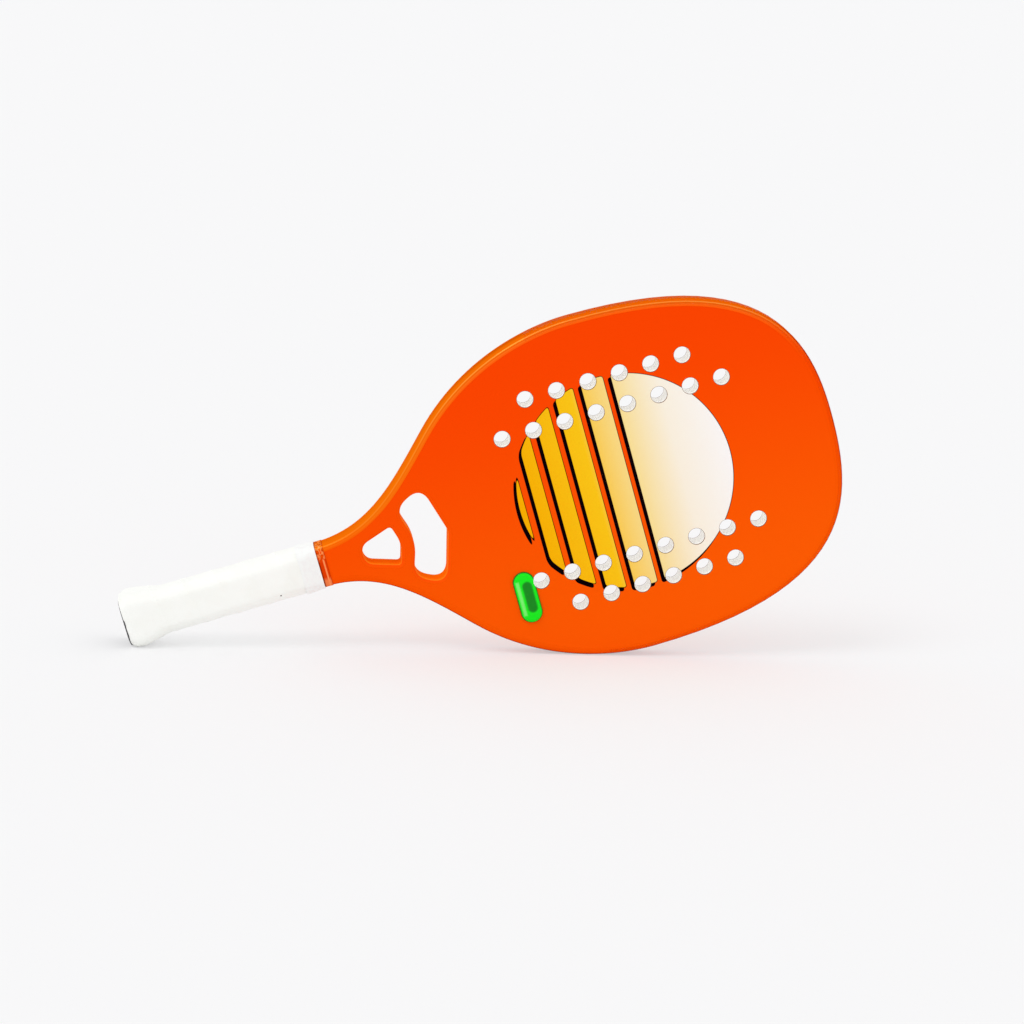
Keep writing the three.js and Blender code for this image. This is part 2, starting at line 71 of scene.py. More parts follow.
# a node's output; sums on it add Math nodes, and node() adds any other kind
class Wire:
    def __init__(self, tree, socket=None):
        self.tree = tree
        self.socket = socket

    def node(self, kind, settings=None, sockets=None, output=0):
        added = self.tree.nodes.new(kind)
        for name, setting in (settings or {}).items():
            if name == "stops":
                ramp = added.color_ramp
                while len(ramp.elements) < len(setting):
                    ramp.elements.new(0.5)
                for element, (place, color) in zip(ramp.elements, setting):
                    element.position = place
                    element.color = color
            else:
                setattr(added, name, setting)
        for name, feed in (sockets or {}).items():
            if isinstance(feed, Wire):
                self.tree.links.new(feed.socket, added.inputs[name])
            else:
                added.inputs[name].default_value = feed
        return Wire(self.tree, added.outputs[output])

    def math(self, operation, first, second=0.0):
        return self.node("ShaderNodeMath", {"operation": operation}, {0: first, 1: second})

    def __add__(self, other):
        return self.math("ADD", self, other)

    def __sub__(self, other):
        return self.math("SUBTRACT", self, other)

    def __rsub__(self, other):
        return self.math("SUBTRACT", other, self)

    def __mul__(self, other):
        return self.math("MULTIPLY", self, other)

    def __truediv__(self, other):
        return self.math("DIVIDE", self, other)

    def __rtruediv__(self, other):
        return self.math("DIVIDE", other, self)

    def __abs__(self):
        return self.math("ABSOLUTE", self)

    __radd__ = __add__
    __rmul__ = __mul__

    def least(self, other):
        return self.math("MINIMUM", self, other)

    def most(self, other):
        return self.math("MAXIMUM", self, other)

    # 0 at one value and 1 at the other, with a soft step between; pairs named By hold such values
    def step(self, start, end):
        return self.node(
            "ShaderNodeMapRange",
            {"interpolation_type": "SMOOTHSTEP"},
            {"Value": self, "From Min": start, "From Max": end},
        )

    def mix(self, mask, first, second):
        sockets = {"Factor": mask, 6: first, 7: second}
        return self.node("ShaderNodeMix", {"data_type": "RGBA"}, sockets, 2)


def hypotenuse(first, second):
    return first.math("SQRT", first * first + second * second)


def screenColor(red, green, blue):
    def linear(value):
        share = value / 255
        return share / 12.92 if share <= 0.04045 else ((share + 0.055) / 1.055) ** 2.4
    return (linear(red), linear(green), linear(blue), 1)


# a material, a wire in its tree, and the place on the lying racket in millimetres
def startMaterial(name, shine):
    material = bpy.data.materials.new(name)
    material.use_nodes = True
    tree = material.node_tree
    shader = tree.nodes["Principled BSDF"]
    for socket, value in shine.items():
        shader.inputs[socket].default_value = value
    wire = Wire(tree)
    place = wire.node("ShaderNodeTexCoord", output=3)
    flat = wire.node(
        "ShaderNodeMapping",
        {"vector_type": "TEXTURE"},
        {
            "Vector": place,
            "Location": standing.translation,
            "Rotation": standing.to_euler(),
            "Scale": (mm, mm, mm),
        },
    )
    return material, wire, flat


def splitPlace(flat):
    apart = flat.node("ShaderNodeSeparateXYZ", sockets={0: flat})
    outputs = apart.socket.node.outputs
    return [Wire(flat.tree, outputs[axis]) for axis in range(3)]


def feedShader(wire, **feeds):
    shader = wire.tree.nodes["Principled BSDF"]
    for name, feed in feeds.items():
        socket = shader.inputs[name.replace("_", " ")]
        if isinstance(feed, Wire):
            wire.tree.links.new(feed.socket, socket)
        else:
            socket.default_value = feed


def grain(flat, size, detail=2.0):
    return flat.node(
        "ShaderNodeTexNoise",
        sockets={"Vector": flat, "Scale": 1 / size, "Detail": detail},
    )


def cells(flat, size):
    return flat.node("ShaderNodeTexVoronoi", sockets={"Vector": flat, "Scale": 1 / size})


# makes a relief of a height, where 1 stands for the depth in millimetres
def bump(height, depth=1.0, strength=1.0):
    return height.node(
        "ShaderNodeBump",
        sockets={"Height": height, "Distance": depth * mm, "Strength": strength},
    )


lacquer = {
    "shine": {
        "Roughness": 0.16,
        "Metallic": 0.08,  # fine flake
        "Specular IOR Level": 0.0,
        "Specular Tint": (1, 0.4, 0.08, 1),
    },
    "faceShine": {"Roughness": 0.24, "Metallic": 0.04, "Specular IOR Level": 0.004},
    "faceTop": screenColor(254, 69, 1),
    "faceBottom": screenColor(255, 93, 3),
    "fadeHalf": 105,  # from the long axis to where the fade ends, mm
    "upperSidePaintedLight": (  # from the middle of the side to the face: painted light from above, lighter than the face and darker towards the middle, with a painted highlight line before it and a fainter one by the face
        (0.2, screenColor(214, 90, 0)),
        (0.62, screenColor(236, 106, 0)),
        (0.835, screenColor(244, 110, 4)),
        (0.86, screenColor(255, 156, 60)),
        (0.884, screenColor(255, 152, 56)),
        (0.91, screenColor(240, 102, 10)),
        (0.945, screenColor(238, 98, 10)),
        (0.965, screenColor(255, 114, 30)),
        (0.99, screenColor(255, 96, 14)),
    ),
    "lowerSidePaintedShade": (  # painted shade: darker than the face, with a fine dark line
        (0.5, screenColor(236, 68, 4)),
        (0.62, screenColor(180, 44, 6)),
        (0.73, screenColor(168, 40, 6)),
    ),
    "lowerFaceBy": (7.3, 8.2),  # height over the middle where the face's colour takes over, mm
    # painted light on the walls of the openings, as lit from above, with a painted highlight line near
    # the face
    "throatSidePaintedLight": (
        (0.2, screenColor(255, 118, 8)),
        (0.76, screenColor(255, 132, 14)),
        (0.84, screenColor(255, 144, 34)),
        (0.91, screenColor(254, 84, 6)),
    ),
    # painted light on the upper side along the neck, without the highlight line
    "neckSidePaintedLight": screenColor(246, 116, 6),
    "neckShare": 0.65,
    "neckBy": (300, 190),  # along the racket
    "halfWidths": (140, 15, 480, 117),  # two places along the racket, each with the half width there
    "paintedLightUpperBy": (0.3, 0.9),  # where the upper side's painted light takes over: distance from the long axis, as a share of the half width
    "throatLine": (160, 10, 232, 50),  # a slanted line between the openings and the outside
    "throatSoft": 1,
    "upperFaceBy": (9.93, 10),
    "peel": 2.4,  # size of the orange peel, mm
    "peelDepth": 0.012,
    "laminate": screenColor(122, 84, 62),
    "laminateBy": (9.97, 9.93),  # height over the middle from which the cut edge shows
}

# a sliced disc, printed on both faces
sunPrint = {
    "middle": 352,
    "across": 0,
    "radius": 74,
    "firstCut": 361,  # where the slicing starts, from there towards the butt
    "slice": 15.5,
    "sliceLess": 2.4,  # each slice is narrower than the one before
    "cut": 5.6,
    "cutMore": 0.35,
    "sliceCount": 5,
    "corner": 1.6,
    "outline": 0.45,
    "shadow": (-2.2, -2.0),
    "edge": 0.12,
    "ink": screenColor(10, 0, 5),
    "tones": (
        (0.0, screenColor(250, 176, 0)),
        (0.36, screenColor(253, 200, 24)),
        (0.56, screenColor(252, 226, 150)),
        (0.76, screenColor(253, 244, 226)),
        (1.0, screenColor(254, 251, 250)),
    ),
}


# middle and half width of each slice, with the whole part of the disc first
def sunSlices():
    end = sunPrint["middle"] + sunPrint["radius"] + sunPrint["cut"]
    start = sunPrint["firstCut"]
    slices = [((start + end) / 2, (end - start) / 2)]
    for index in range(sunPrint["sliceCount"]):
        end = start - sunPrint["cut"] - sunPrint["cutMore"] * index
        start = end - sunPrint["slice"] + sunPrint["sliceLess"] * index
        slices.append(((start + end) / 2, (end - start) / 2))
    return slices


# how far a point lies outside the sliced disc
def outsideSun(x, y):
    disc = hypotenuse(x - sunPrint["middle"], y - sunPrint["across"]) - sunPrint["radius"]
    slices = None
    for middle, half in sunSlices():
        slab = abs(x - middle) - half
        slices = slab if slices is None else slices.least(slab)
    corner = sunPrint["corner"]
    return hypotenuse((disc + corner).most(0.0), (slices + corner).most(0.0)) - corner


def printOver(ground, x, y):
    edge = sunPrint["edge"]
    shiftX, shiftY = sunPrint["shadow"]
    fill = outsideSun(x, y)
    shadow = outsideSun(x - shiftX, y - shiftY)
    inked = fill.least(shadow) - sunPrint["outline"]
    radius = sunPrint["radius"]
    share = (x - (sunPrint["middle"] - radius)) / (2 * radius)
    tones = x.node("ShaderNodeValToRGB", {"stops": sunPrint["tones"]}, {0: share})
    withInk = x.mix(inked.step(edge, -edge), ground, sunPrint["ink"])
    return x.mix(fill.step(edge, -edge), withInk, tones)


# the face's colour, more red towards the upper side and more yellow towards the lower side
def lacquerGround(y):
    fade = y.step(-lacquer["fadeHalf"], lacquer["fadeHalf"])
    return y.mix(fade, lacquer["faceBottom"], lacquer["faceTop"])


# the lacquer's colour on the frame, whose sides differ from its faces: painted light on the upper side
# and on the walls of the openings, with painted highlight lines, and painted shade on the lower side
def paintedSideLightAndFaceColor(wire, flat):
    x, y, z = splitPlace(flat)
    half = hoop["thickness"] / 2
    height = abs(z)
    startX, startHalf, endX, endHalf = lacquer["halfWidths"]
    upper = y / ((x - startX) * ((endHalf - startHalf) / (endX - startX)) + startHalf)
    upper = upper.step(*lacquer["paintedLightUpperBy"])
    fromX, fromY, toX, toY = lacquer["throatLine"]
    soft = lacquer["throatSoft"]
    throat = ((x - fromX) * ((toY - fromY) / (toX - fromX)) + fromY - abs(y)).step(-soft, soft)
    throat = throat * x.step(toX + 2 * soft, toX)
    # painted light and shade on the sides, by height over the middle
    upperSidePaintedLight, lowerSidePaintedShade, throatSidePaintedLight = [
        wire.node("ShaderNodeValToRGB", {"stops": lacquer[name]}, {0: height / half})
        for name in ("upperSidePaintedLight", "lowerSidePaintedShade", "throatSidePaintedLight")
    ]
    ground = lacquerGround(y)
    neck = x.step(*lacquer["neckBy"]) * lacquer["neckShare"]
    upperSidePaintedLight = wire.mix(neck, upperSidePaintedLight, lacquer["neckSidePaintedLight"])
    lowerSidePaintedShade = wire.mix(height.step(*lacquer["lowerFaceBy"]), lowerSidePaintedShade, ground)
    sides = wire.mix(throat, wire.mix(upper, lowerSidePaintedShade, upperSidePaintedLight), throatSidePaintedLight)
    return wire.mix(height.step(*lacquer["upperFaceBy"]), sides, ground)


def makeFrameLacquer():
    material, wire, flat = startMaterial("frameLacquer", lacquer["shine"])
    peel = grain(flat, lacquer["peel"])
    feedShader(wire, Base_Color=paintedSideLightAndFaceColor(wire, flat), Normal=bump(peel, lacquer["peelDepth"]))
    return material


def makeFaceLacquer():
    material, wire, flat = startMaterial("faceLacquer", lacquer["faceShine"])
    x, y, z = splitPlace(flat)
    printed = printOver(lacquerGround(y), x, y)
    cutEdge = abs(z).step(*lacquer["laminateBy"])
    peel = grain(flat, lacquer["peel"])
    feedShader(
        wire,
        Base_Color=wire.mix(cutEdge, printed, lacquer["laminate"]),
        Normal=bump(peel, lacquer["peelDepth"]),
    )
    return material


foam = {
    # a small emission makes the foam glow: painted light
    "shine": {"Roughness": 0.9, "Specular IOR Level": 0.2, "Emission Strength": 0.09},
    "color": screenColor(253, 252, 249),
    # painted shade in the hollows of the cells
    "pit": screenColor(243, 241, 237),
    "pitShadeBy": (0.55, 0.05),  # from the edge of a cell to its middle
    "cell": 0.55,
    "depth": 0.08,
    "strength": 0.6,
}


def makeCoreFoam():
    material, wire, flat = startMaterial("coreFoam", foam["shine"])
    pits = cells(flat, foam["cell"])
    feedShader(
        wire,
        # darker in the hollows of the cells: painted shade
        Base_Color=wire.mix(pits.step(*foam["pitShadeBy"]), foam["color"], foam["pit"]),
        Emission_Color=foam["color"],  # painted glow: the foam gives off light of its own, standing in for light that comes through it
        Normal=bump(pits, foam["depth"], foam["strength"]),
    )
    return material


palletFoam = {
    "shine": {"Roughness": 0.8},
    "color": screenColor(217, 207, 168),
    # painted shade in the hollows of the cells
    "dark": screenColor(196, 184, 142),
    "hollowShadeBy": (0.6, 0.1),
    "cell": 0.9,
    "depth": 0.1,
    "strength": 0.5,
}


def makePalletFoam():
    material, wire, flat = startMaterial("palletFoam", palletFoam["shine"])
    pits = cells(flat, palletFoam["cell"])
    feedShader(
        wire,
        # painted shade in the hollows of the cells
        Base_Color=wire.mix(pits.step(*palletFoam["hollowShadeBy"]), palletFoam["color"], palletFoam["dark"]),
        Normal=bump(pits, palletFoam["depth"], palletFoam["strength"]),
    )
    return material


stapleWire = {
    "shine": {"Metallic": 1.0, "Roughness": 0.35},
    "color": screenColor(190, 193, 198),
    "drawn": screenColor(160, 162, 166),
    "drawnBy": (0.35, 0.7),
    "streak": 0.5,
}


def makeStapleSteel():
    material, wire, flat = startMaterial("stapleSteel", stapleWire["shine"])
    drawn = grain(flat, stapleWire["streak"]).step(*stapleWire["drawnBy"])
    feedShader(wire, Base_Color=wire.mix(drawn, stapleWire["color"], stapleWire["drawn"]))
    return material


leather = {
    "shine": {"Roughness": 0.62, "Specular IOR Level": 0.3, "Sheen Weight": 0.12},
    "color": screenColor(253, 254, 250),
    "worn": screenColor(251, 252, 247),
    "wornBy": (0.4, 0.7),
    "patch": 14,
    "grainSize": 0.55,
    "grainDepth": 0.05,
    "crease": 5,
    "creaseDepth": 0.25,
    "detail": 3,
    "speck": screenColor(70, 66, 62),
    "speckAt": (106.8, -10.5),
    "frontBy": (0, 1),  # the speck is on the front only
    "speckBy": (0.715, 0.385),  # from its middle
}


def makeGripLeather():
    material, wire, flat = startMaterial("gripLeather", leather["shine"])
    x, y, z = splitPlace(flat)
    speckX, speckY = leather["speckAt"]
    speck = hypotenuse(x - speckX, y - speckY).step(*leather["speckBy"])
    speck = speck * z.step(*leather["frontBy"])
    pores = cells(flat, leather["grainSize"])
    creases = grain(flat, leather["crease"], leather["detail"])
    patches = grain(flat, leather["patch"], leather["detail"])
    relief = pores * leather["grainDepth"] + creases * leather["creaseDepth"]
    color = wire.mix(patches.step(*leather["wornBy"]), leather["color"], leather["worn"])
    feedShader(wire, Base_Color=wire.mix(speck, color, leather["speck"]), Normal=bump(relief))
    return material


tapePaper = {
    "shine": {"Roughness": 0.5, "Specular IOR Level": 0.3},
    "color": screenColor(250, 252, 250),
    "crest": screenColor(248, 248, 247),
    "crestBy": (0.4, 0.65),
    "wrinkle": 3.5,
    "wrinkleDepth": 0.08,
    "detail": 3,
    "thread": 0.7,
    "threadDepth": 0.015,
}


def makeTapePaper():
    material, wire, flat = startMaterial("tapePaper", tapePaper["shine"])
    x, _, _ = splitPlace(flat)
    wrinkles = grain(flat, tapePaper["wrinkle"], tapePaper["detail"])
    threads = wire.math("SINE", x * (2 * math.pi / tapePaper["thread"]))
    relief = wrinkles * tapePaper["wrinkleDepth"] + threads * tapePaper["threadDepth"]
    crests = wrinkles.step(*tapePaper["crestBy"])
    feedShader(
        wire,
        Base_Color=wire.mix(crests, tapePaper["color"], tapePaper["crest"]),
        Normal=bump(relief),
    )
    return material


film = {
    "shine": {"Roughness": 0.06, "Specular IOR Level": 0.05, "Alpha": 0.06},
    "color": screenColor(232, 72, 6),
    "ripple": 7,
    "rippleDepth": 0.35,
    "detail": 1,
}


def makeClearFilm():
    material, wire, flat = startMaterial("clearFilm", film["shine"])
    ripples = grain(flat, film["ripple"], film["detail"])
    feedShader(wire, Base_Color=film["color"], Normal=bump(ripples, film["rippleDepth"]))
    return material


# clear film drawn tight over the lacquer, whose colour and gloss it shows
collarFilm = {
    "shine": {**lacquer["shine"], "Roughness": 0.1},
    "tint": screenColor(214, 50, 4),
    "tintShare": 0.65,
    "corner": screenColor(132, 40, 8),  # painted shadow along the tape's edge
    "tapeShadowWidth": 1.0,
    "tapeShadowLess": 0.6,  # how much the painted shadow fades where the film is creased
    # paler colour: a painted highlight line, and a paler patch towards the lower side
    "highlightAndPale": screenColor(255, 148, 88),
    "highlightAt": 3.5,  # a painted highlight line, this far from the collar's start
    "highlightHalf": 0.7,
    "highlightBy": (6, 4),  # across the racket, as are patchBy and creaseBy
    "patchBy": (-7, -10.5),
    "patchShare": 0.7,
    "end": screenColor(190, 46, 2),
    "endWidth": 0.5,
    # painted shade in the crinkles of the creased film, and painted highlights beside them
    "crease": screenColor(170, 66, 10),
    "creaseHighlight": screenColor(255, 176, 104),
    "creaseAt": 0.45,  # heights of the painted shade and the painted highlights in the crinkles, and their width
    "creaseHighlightAt": 0.57,
    "creaseWidth": 0.1,
    "creaseShare": 0.62,
    "creaseBy": (3, 7),
    "creaseSize": 3.4,
    "creaseDepth": 0.4,
    "detail": 1,
}


def makeCollarFilm():
    material, wire, flat = startMaterial("collarFilm", collarFilm["shine"])
    x, y, _ = splitPlace(flat)
    x = x - layers["collarFrom"]
    width = layers["collarTo"] - layers["collarFrom"]
    half = collarFilm["highlightHalf"]
    creases = grain(flat, collarFilm["creaseSize"], collarFilm["detail"])
    creased = y.step(*collarFilm["creaseBy"])
    crinkled = creased * collarFilm["creaseShare"]
    # painted shade in the crinkles and painted highlights beside them
    dark = abs(creases - collarFilm["creaseAt"]).step(collarFilm["creaseWidth"], 0) * crinkled
    light = abs(creases - collarFilm["creaseHighlightAt"]).step(collarFilm["creaseWidth"], 0) * crinkled
    # a painted highlight line, and a paler patch towards the lower side
    line = abs(x - collarFilm["highlightAt"]).step(half, half / 2) * y.step(*collarFilm["highlightBy"])
    patch = y.step(*collarFilm["patchBy"]) * collarFilm["patchShare"]
    # painted shadow along the tape's edge, fading where the film is creased
    corner = x.step(collarFilm["tapeShadowWidth"], 0) * (1 - creased * collarFilm["tapeShadowLess"])
    tinted = (1 - creased) * collarFilm["tintShare"]
    color = wire.mix(tinted, paintedSideLightAndFaceColor(wire, flat), collarFilm["tint"])
    color = wire.mix(dark, color, collarFilm["crease"])
    color = wire.mix(light, color, collarFilm["creaseHighlight"])
    color = wire.mix(line.most(patch), color, collarFilm["highlightAndPale"])
    color = wire.mix(corner, color, collarFilm["corner"])
    color = wire.mix(x.step(width - collarFilm["endWidth"], width), color, collarFilm["end"])
    feedShader(wire, Base_Color=color, Normal=bump(creases, collarFilm["creaseDepth"]))
    return material


capPlastic = {
    "shine": {"Roughness": 0.5, "Specular IOR Level": 0.4},
    "color": screenColor(58, 56, 60),
    "mark": screenColor(74, 72, 76),
    "markBy": (0.45, 0.7),
    "spark": 0.35,
    "sparkDepth": 0.03,
    "detail": 3,
}


def makeCapPlastic():
    material, wire, flat = startMaterial("capPlastic", capPlastic["shine"])
    spark = grain(flat, capPlastic["spark"], capPlastic["detail"])
    feedShader(
        wire,
        Base_Color=wire.mix(spark.step(*capPlastic["markBy"]), capPlastic["color"], capPlastic["mark"]),
        Normal=bump(spark, capPlastic["sparkDepth"]),
    )
    return material


badge = {
    "at": 267.2,
    "across": -59.5,
    "width": 15,
    "length": 36.2,
    "label": 0.3,
    "dome": 1.5,
    "crown": 2.6,
    "shine": {"Roughness": 0.5},
    "domeShine": {
        "Roughness": 0.08,
        "Specular IOR Level": 0.12,
        "Coat Weight": 0.12,
        "Coat Roughness": 0.03,
    },
    "green": screenColor(6, 243, 18),
    # painted shade along the badge's rim
    "edge": screenColor(20, 110, 24),
    "rimShadeBy": (-1.0, -0.3),  # distance outside the outline
    "dark": screenColor(4, 140, 18),
    "glint": screenColor(150, 255, 140),
    "field": (6.6, 22),  # width and length of the darker field
    "fieldShift": 1.5,
    "fieldSoft": 0.9,
    "stripeAt": -4.6,
    "stripeHalf": 1.1,
    "stripeReach": 12,
    "stripeSoft": 0.8,
    "glintShare": 0.65,
}


# how far a point lies outside a capsule that runs across the racket
def outsideCapsule(x, y, width, length):
    straight = (length - width) / 2
    return hypotenuse(x, (abs(y) - straight).most(0.0)) - width / 2


def makeBadgePrint(name, shine):
    material, wire, flat = startMaterial(name, shine)
    x, y, _ = splitPlace(flat)
    x = x - badge["at"]
    y = y - badge["across"]
    rim = outsideCapsule(x, y, badge["width"], badge["length"])
    field = outsideCapsule(x - badge["fieldShift"], y, *badge["field"])
    stripe = (abs(x - badge["stripeAt"]) - badge["stripeHalf"]).most(abs(y) - badge["stripeReach"])
    glint = stripe.step(badge["stripeSoft"], -badge["stripeSoft"]) * badge["glintShare"]
    color = wire.mix(field.step(badge["fieldSoft"], -badge["fieldSoft"]), badge["green"], badge["dark"])
    color = wire.mix(glint, color, badge["glint"])
    # painted shade along the rim
    color = wire.mix(rim.step(*badge["rimShadeBy"]), color, badge["edge"])
    feedShader(wire, Base_Color=color)
    return material


shaping = {  # in millimetres, but for the share
    "mergePlates": 0.0005,
    "mergeGrids": 0.002,
    "onFace": 0.01,  # a point this near to a face lies on it
    "overrun": 1,  # how far a cut runs past what it cuts
    "facesUp": 0.5,  # least share of a normal that counts as up
}


def clearSelection():
    bpy.ops.object.select_all(action="DESELECT")


def pick(piece):
    clearSelection()
    piece.select_set(True)
    bpy.context.view_layer.objects.active = piece


def applyModifier(piece, kind, **settings):
    pick(piece)
    modifier = piece.modifiers.new(kind, kind)
    for name, value in settings.items():
        setattr(modifier, name, value)
    bpy.ops.object.modifier_apply(modifier=modifier.name)


def combine(piece, tool, operation="DIFFERENCE"):
    applyModifier(piece, "BOOLEAN", object=tool, operation=operation, solver="EXACT")
    bpy.data.objects.remove(tool)


def editAll(piece):
    pick(piece)
    bpy.ops.object.mode_set(mode="EDIT")
    bpy.ops.mesh.select_all(action="SELECT")


def endEdit():
    bpy.ops.object.mode_set(mode="OBJECT")


def merge(piece, distance=shaping["mergePlates"]):
    editAll(piece)
    bpy.ops.mesh.remove_doubles(threshold=distance * mm)
    bpy.ops.mesh.normals_make_consistent(inside=False)
    endEdit()


# keeps what lies beyond a place along the racket, or before it; a slope sets the cut aslant
def trim(piece, x, keepBeyond, close=True, slope=0):
    editAll(piece)
    bpy.ops.mesh.bisect(
        plane_co=(x * mm, 0, 0),
        plane_no=(1, slope, 0),
        use_fill=close,
        clear_inner=keepBeyond,
        clear_outer=not keepBeyond,
    )
    endEdit()


smoothing = {"angle": 32, "boundWeight": 80}


def finishPiece(piece, material, replaced):
    pick(piece)
    bpy.ops.object.shade_smooth_by_angle(angle=math.radians(smoothing["angle"]))
    applyModifier(piece, "WEIGHTED_NORMAL", keep_sharp=True, weight=smoothing["boundWeight"])
    piece.data.materials.clear()
    piece.data.materials.append(material)
    piece.data.transform(standing)
    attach(piece, "root")
    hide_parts(*replaced)
    print(piece.name, len(piece.data.polygons), "faces")


# the racket's outline, in millimetres
hoop = {
    "length": 500,
    "thickness": 20,
    "edgeRound": 5,
    "halfWidth": 118.2,
    "widestAt": 343,
    "crownShare": 0.92,
    "tipShare": 0.47,
    "bodyShare": 0.26,
    "shoulderAt": 227.7,
    "shoulderHalf": 68.9,
    "shoulderAngle": 46,  # degrees
    "bendShare": 0.47,
    "neckAt": 138,
    "neckHalf": 14.6,
    "neckShare": 0.43,
    "handleHalf": 13.3,
    "swell": (113, 126),  # where the legs widen into the neck
    "legsFrom": 3.3,
    "legsDrawnFrom": -12,  # the legs are drawn longer, and then cut
    "tubeWidth": 14.5,
    "throatPoint": (200, 41.4),  # where the core's room is closed off
    "curveSteps": 26,
    "edgeSteps": 6,
}


def straightPoint(x, y):
    return ((x, y), (x, y), (x, y))


def outlineCurve(headOnly=False):
    tip, half = hoop["length"], hoop["halfWidth"]
    widest, shoulder = hoop["widestAt"], hoop["shoulderAt"]
    climb = Vector((1, 0)) @ Matrix.Rotation(-math.radians(hoop["shoulderAngle"]), 2)
    rise = climb * (widest - shoulder) * hoop["bendShare"]
    fall = climb * (shoulder - hoop["neckAt"]) * hoop["bendShare"]
    shoulderPlace = Vector((shoulder, hoop["shoulderHalf"]))
    upper = [
        (
            (widest, half),
            (widest + (tip - widest) * hoop["crownShare"], half),
            (widest - (widest - shoulder) * hoop["bodyShare"], half),
        ),
        (shoulderPlace[:], (shoulderPlace + rise)[:], (shoulderPlace - fall)[:]),
    ]
    if headOnly:
        upper[-1] = (shoulderPlace[:], (shoulderPlace + rise)[:], shoulderPlace[:])
        upper.append(straightPoint(*hoop["throatPoint"]))
    else:
        neckAt, neckHalf = hoop["neckAt"], hoop["neckHalf"]
        reach = neckAt + (shoulder - neckAt) * hoop["neckShare"]
        upper.append(((neckAt, neckHalf), (reach, neckHalf), (neckAt, neckHalf)))
        upper.append(straightPoint(hoop["swell"][1], neckHalf))
        upper.append(straightPoint(hoop["swell"][0], hoop["handleHalf"]))
        upper.append(straightPoint(hoop["legsDrawnFrom"], hoop["handleHalf"]))
    tipReach = half * hoop["tipShare"]
    lower = [
        tuple((x, -y) for x, y in (place, after, before))
        for place, before, after in reversed(upper)
    ]
    return [((tip, 0), (tip, -tipReach), (tip, tipReach))] + upper + lower


# how far a curve's handles reach, of the way to a corner and of a quarter circle's radius
cornerPull = 2 / 3
arcPull = 0.5523


# a closed contour with corners rounded from a distance along each side
def roundedCurve(corners):
    points = []
    for index, (x, y, rounding) in enumerate(corners):
        middle = Vector((x, y))
        ends = []
        for other in (corners[index - 1], corners[(index + 1) % len(corners)]):
            away = (Vector(other[:2]) - middle).normalized() * rounding
            ends.append(middle + away)
        first, second = ends
        points.append((first[:], first[:], (first + (middle - first) * cornerPull)[:]))
        points.append((second[:], (second + (middle - second) * cornerPull)[:], second[:]))
    return points


openings = {
    "large": ((227.4, 0, 3), (217.3, 34.78, 12), (196.8, 24, 10), (204.8, 0, 11)),
    "small": ((194.7, 0, 6.5), (190.6, 13.8, 3), (167.7, 6.2, 5.8)),
    "edgeRound": 2.5,
    "bridgeWidth": 14.5,
}


def openingCurve(name):
    upper = list(openings[name])
    lower = [(x, -y, rounding) for x, y, rounding in reversed(upper) if y > 0]
    return roundedCurve(upper + lower)


def sheetCurve():
    reach = hoop["length"] + hoop["thickness"]
    corners = ((-reach, -reach), (reach, -reach), (reach, reach), (-reach, reach))
    return [straightPoint(x, y) for x, y in corners]


# rounds the edges all round both flat ends
def roundEnds(plate, fromZ, toZ, rounding):
    pick(plate)
    bpy.ops.object.mode_set(mode="EDIT")
    bpy.ops.mesh.select_mode(type="EDGE")
    bpy.ops.mesh.select_all(action="DESELECT")
    endEdit()
    points = plate.data.vertices
    near = shaping["onFace"]
    for edge in plate.data.edges:
        heights = [points[index].co.z / mm for index in edge.vertices]
        edge.select = min(heights) > toZ - near or max(heights) < fromZ + near
    bpy.ops.object.mode_set(mode="EDIT")
    bpy.ops.mesh.bevel(
        offset=rounding * mm,
        segments=hoop["edgeSteps"],
        profile=0.5,
        affect="EDGES",
        clamp_overlap=False,
    )
    endEdit()
    merge(plate)


# a flat plate with rounded edges from Bezier contours, its outline drawn in by an inset
def addPlate(name, contours, fromZ, toZ, rounding=0, inset=0):
    clearSelection()
    bpy.ops.curve.primitive_bezier_curve_add()
    plate = bpy.context.object
    plate.name = name
    drawing = plate.data
    drawing.splines.clear()
    drawing.dimensions = "2D"
    drawing.fill_mode = "BOTH" if len(contours) > 1 else "NONE"
    drawing.resolution_u = hoop["curveSteps"]
    curveRounding = rounding if len(contours) > 1 else 0
    drawing.extrude = ((toZ - fromZ) / 2 - curveRounding) * mm
    drawing.bevel_depth = curveRounding * mm
    drawing.bevel_resolution = hoop["edgeSteps"]
    drawing.offset = -(curveRounding + inset) * mm
    for contour in contours:
        spline = drawing.splines.new("BEZIER")
        spline.use_cyclic_u = True
        spline.bezier_points.add(len(contour) - 1)
        for point, (place, before, after) in zip(spline.bezier_points, contour):
            point.handle_left_type = "FREE"
            point.handle_right_type = "FREE"
            point.co = (place[0] * mm, place[1] * mm, 0)
            point.handle_left = (before[0] * mm, before[1] * mm, 0)
            point.handle_right = (after[0] * mm, after[1] * mm, 0)
    bpy.ops.object.convert(target="MESH")
    plate = bpy.context.object
    plate.data.transform(Matrix.Translation((0, 0, (fromZ + toZ) / 2 * mm)))
    merge(plate)
    editAll(plate)
    bpy.ops.mesh.fill_holes(sides=0)
    bpy.ops.mesh.normals_make_consistent(inside=False)
    endEdit()
    if rounding > curveRounding:
        roundEnds(plate, fromZ, toZ, rounding)
    return plate


skin = {
    "inset": 5.2,  # from the racket's outside
    "throatInset": 2.7,  # from the openings
    "thickness": 1.0,
    "from": 143.7,
    "seam": 0.02,
}


